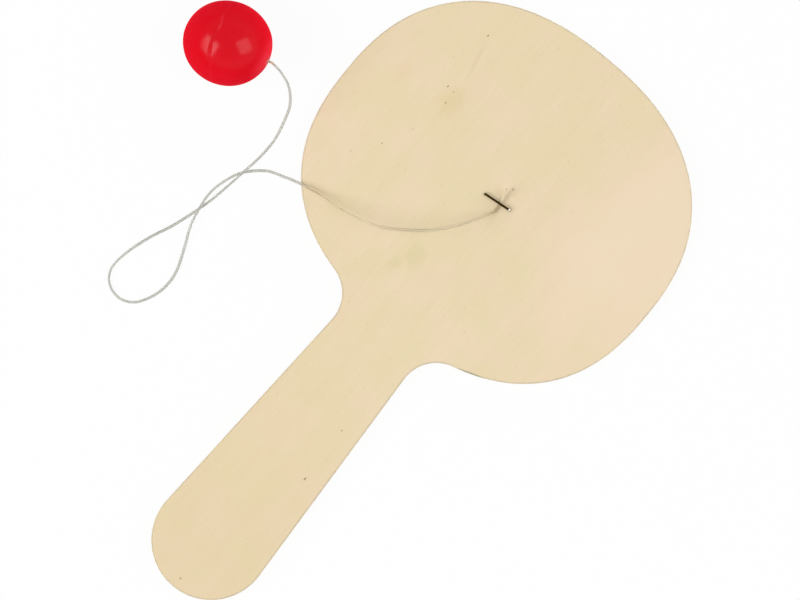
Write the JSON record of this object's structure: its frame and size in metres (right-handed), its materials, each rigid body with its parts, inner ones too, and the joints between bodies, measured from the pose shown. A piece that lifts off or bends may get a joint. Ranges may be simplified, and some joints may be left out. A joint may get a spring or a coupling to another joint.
{
  "type": "paddle ball game",
  "caption": "Thin plywood hand paddle with a hollow rubber ball on an elastic thread, which is stapled to the blade and knotted inside the ball.",
  "frame": {"origin": "middle of the blade, on the flat back of the paddle, where the paddle's line crosses the blade's widest line", "axes": "+Y along the paddle towards the top of the blade, -Y along the handle, +Z out of the striking face, +X to the right"},
  "size_m": [0.1908, 0.2421, 0.0304],
  "materials": {
    "face_wood": "sanded, bare basswood veneer",
    "core_wood": "bare veneer, seen at the sawn edge",
    "staple_wire": "dark lacquered flat wire",
    "thread_rubber": "bare natural rubber thread",
    "ball_rubber": "satin moulded red rubber"
  },
  "bodies": {
    "paddle": {"face_veneer": "face_wood", "core_veneer": "core_wood", "back_veneer": "face_wood", "staple": "staple_wire", "elastic_tail": "thread_rubber", "elastic_strand": "thread_rubber"},
    "ball": {"ball_hole_half": "ball_rubber", "ball_rear_half": "ball_rubber", "elastic_knot": "thread_rubber"}
  },
  "joints": [
    {"name": "ball_lift", "type": "slide", "parent": "paddle", "child": "ball", "axis": [0, 0, 1], "range_m": [0, 0.26], "deforming": ["elastic_strand"]}
  ]
}
